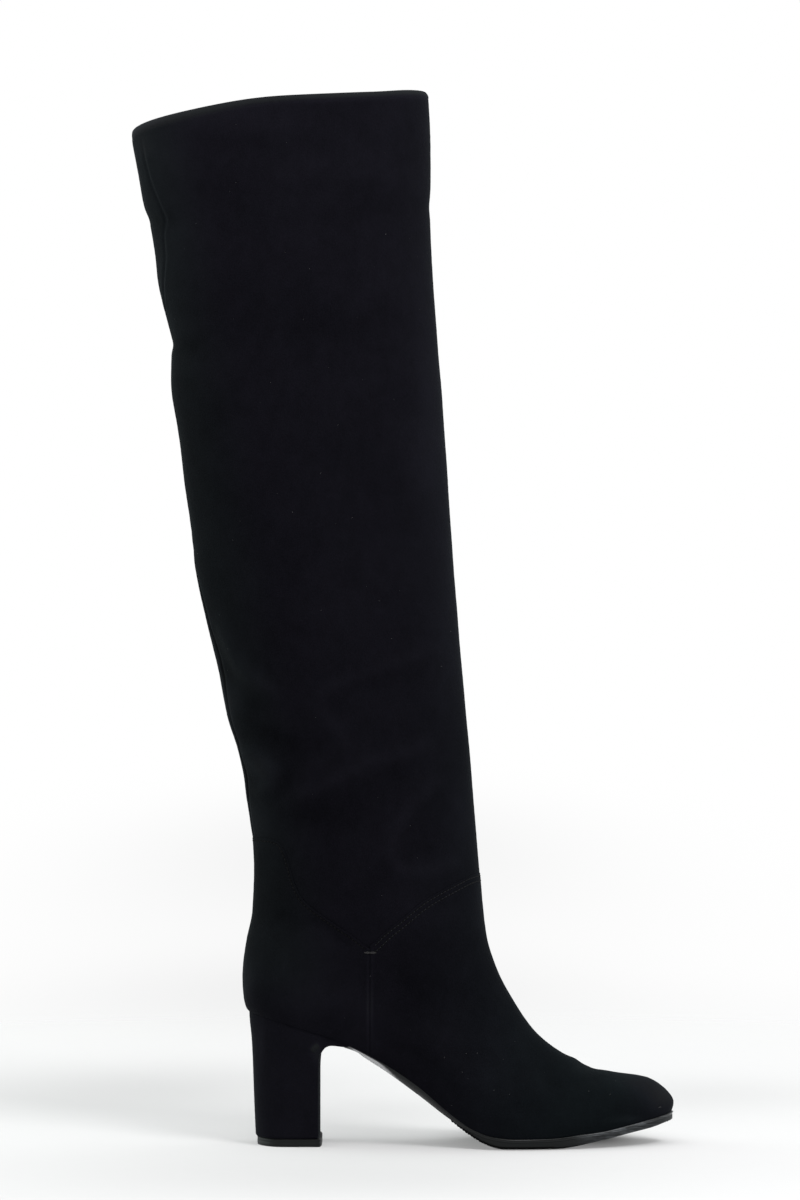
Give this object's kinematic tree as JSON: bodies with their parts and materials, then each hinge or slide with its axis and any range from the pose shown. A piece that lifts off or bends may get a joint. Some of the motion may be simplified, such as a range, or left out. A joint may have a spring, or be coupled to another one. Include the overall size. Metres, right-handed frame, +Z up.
{
  "type": "tall boot",
  "caption": "Tall pull-on suede boot with a straight over-the-knee shaft, almond toe, thin sole and covered block heel; worn on the right foot and stands on its sole.",
  "frame": {"origin": "on the floor, under the middle of the boot's box", "axes": "+X to the toe, +Y to the inner side of the foot, +Z up"},
  "size_m": [0.3044, 0.0958, 0.59],
  "materials": {
    "suede": "black suede with a short soft nap",
    "lining": "smooth black lining leather",
    "sole_leather": "polished black sole edge",
    "rubber": "satin black rubber"
  },
  "bodies": {
    "root": {"upper": "suede", "insole": "lining", "outsole": "sole_leather", "tread": "rubber", "heel": "suede", "top_lift": "rubber"}
  },
  "joints": []
}
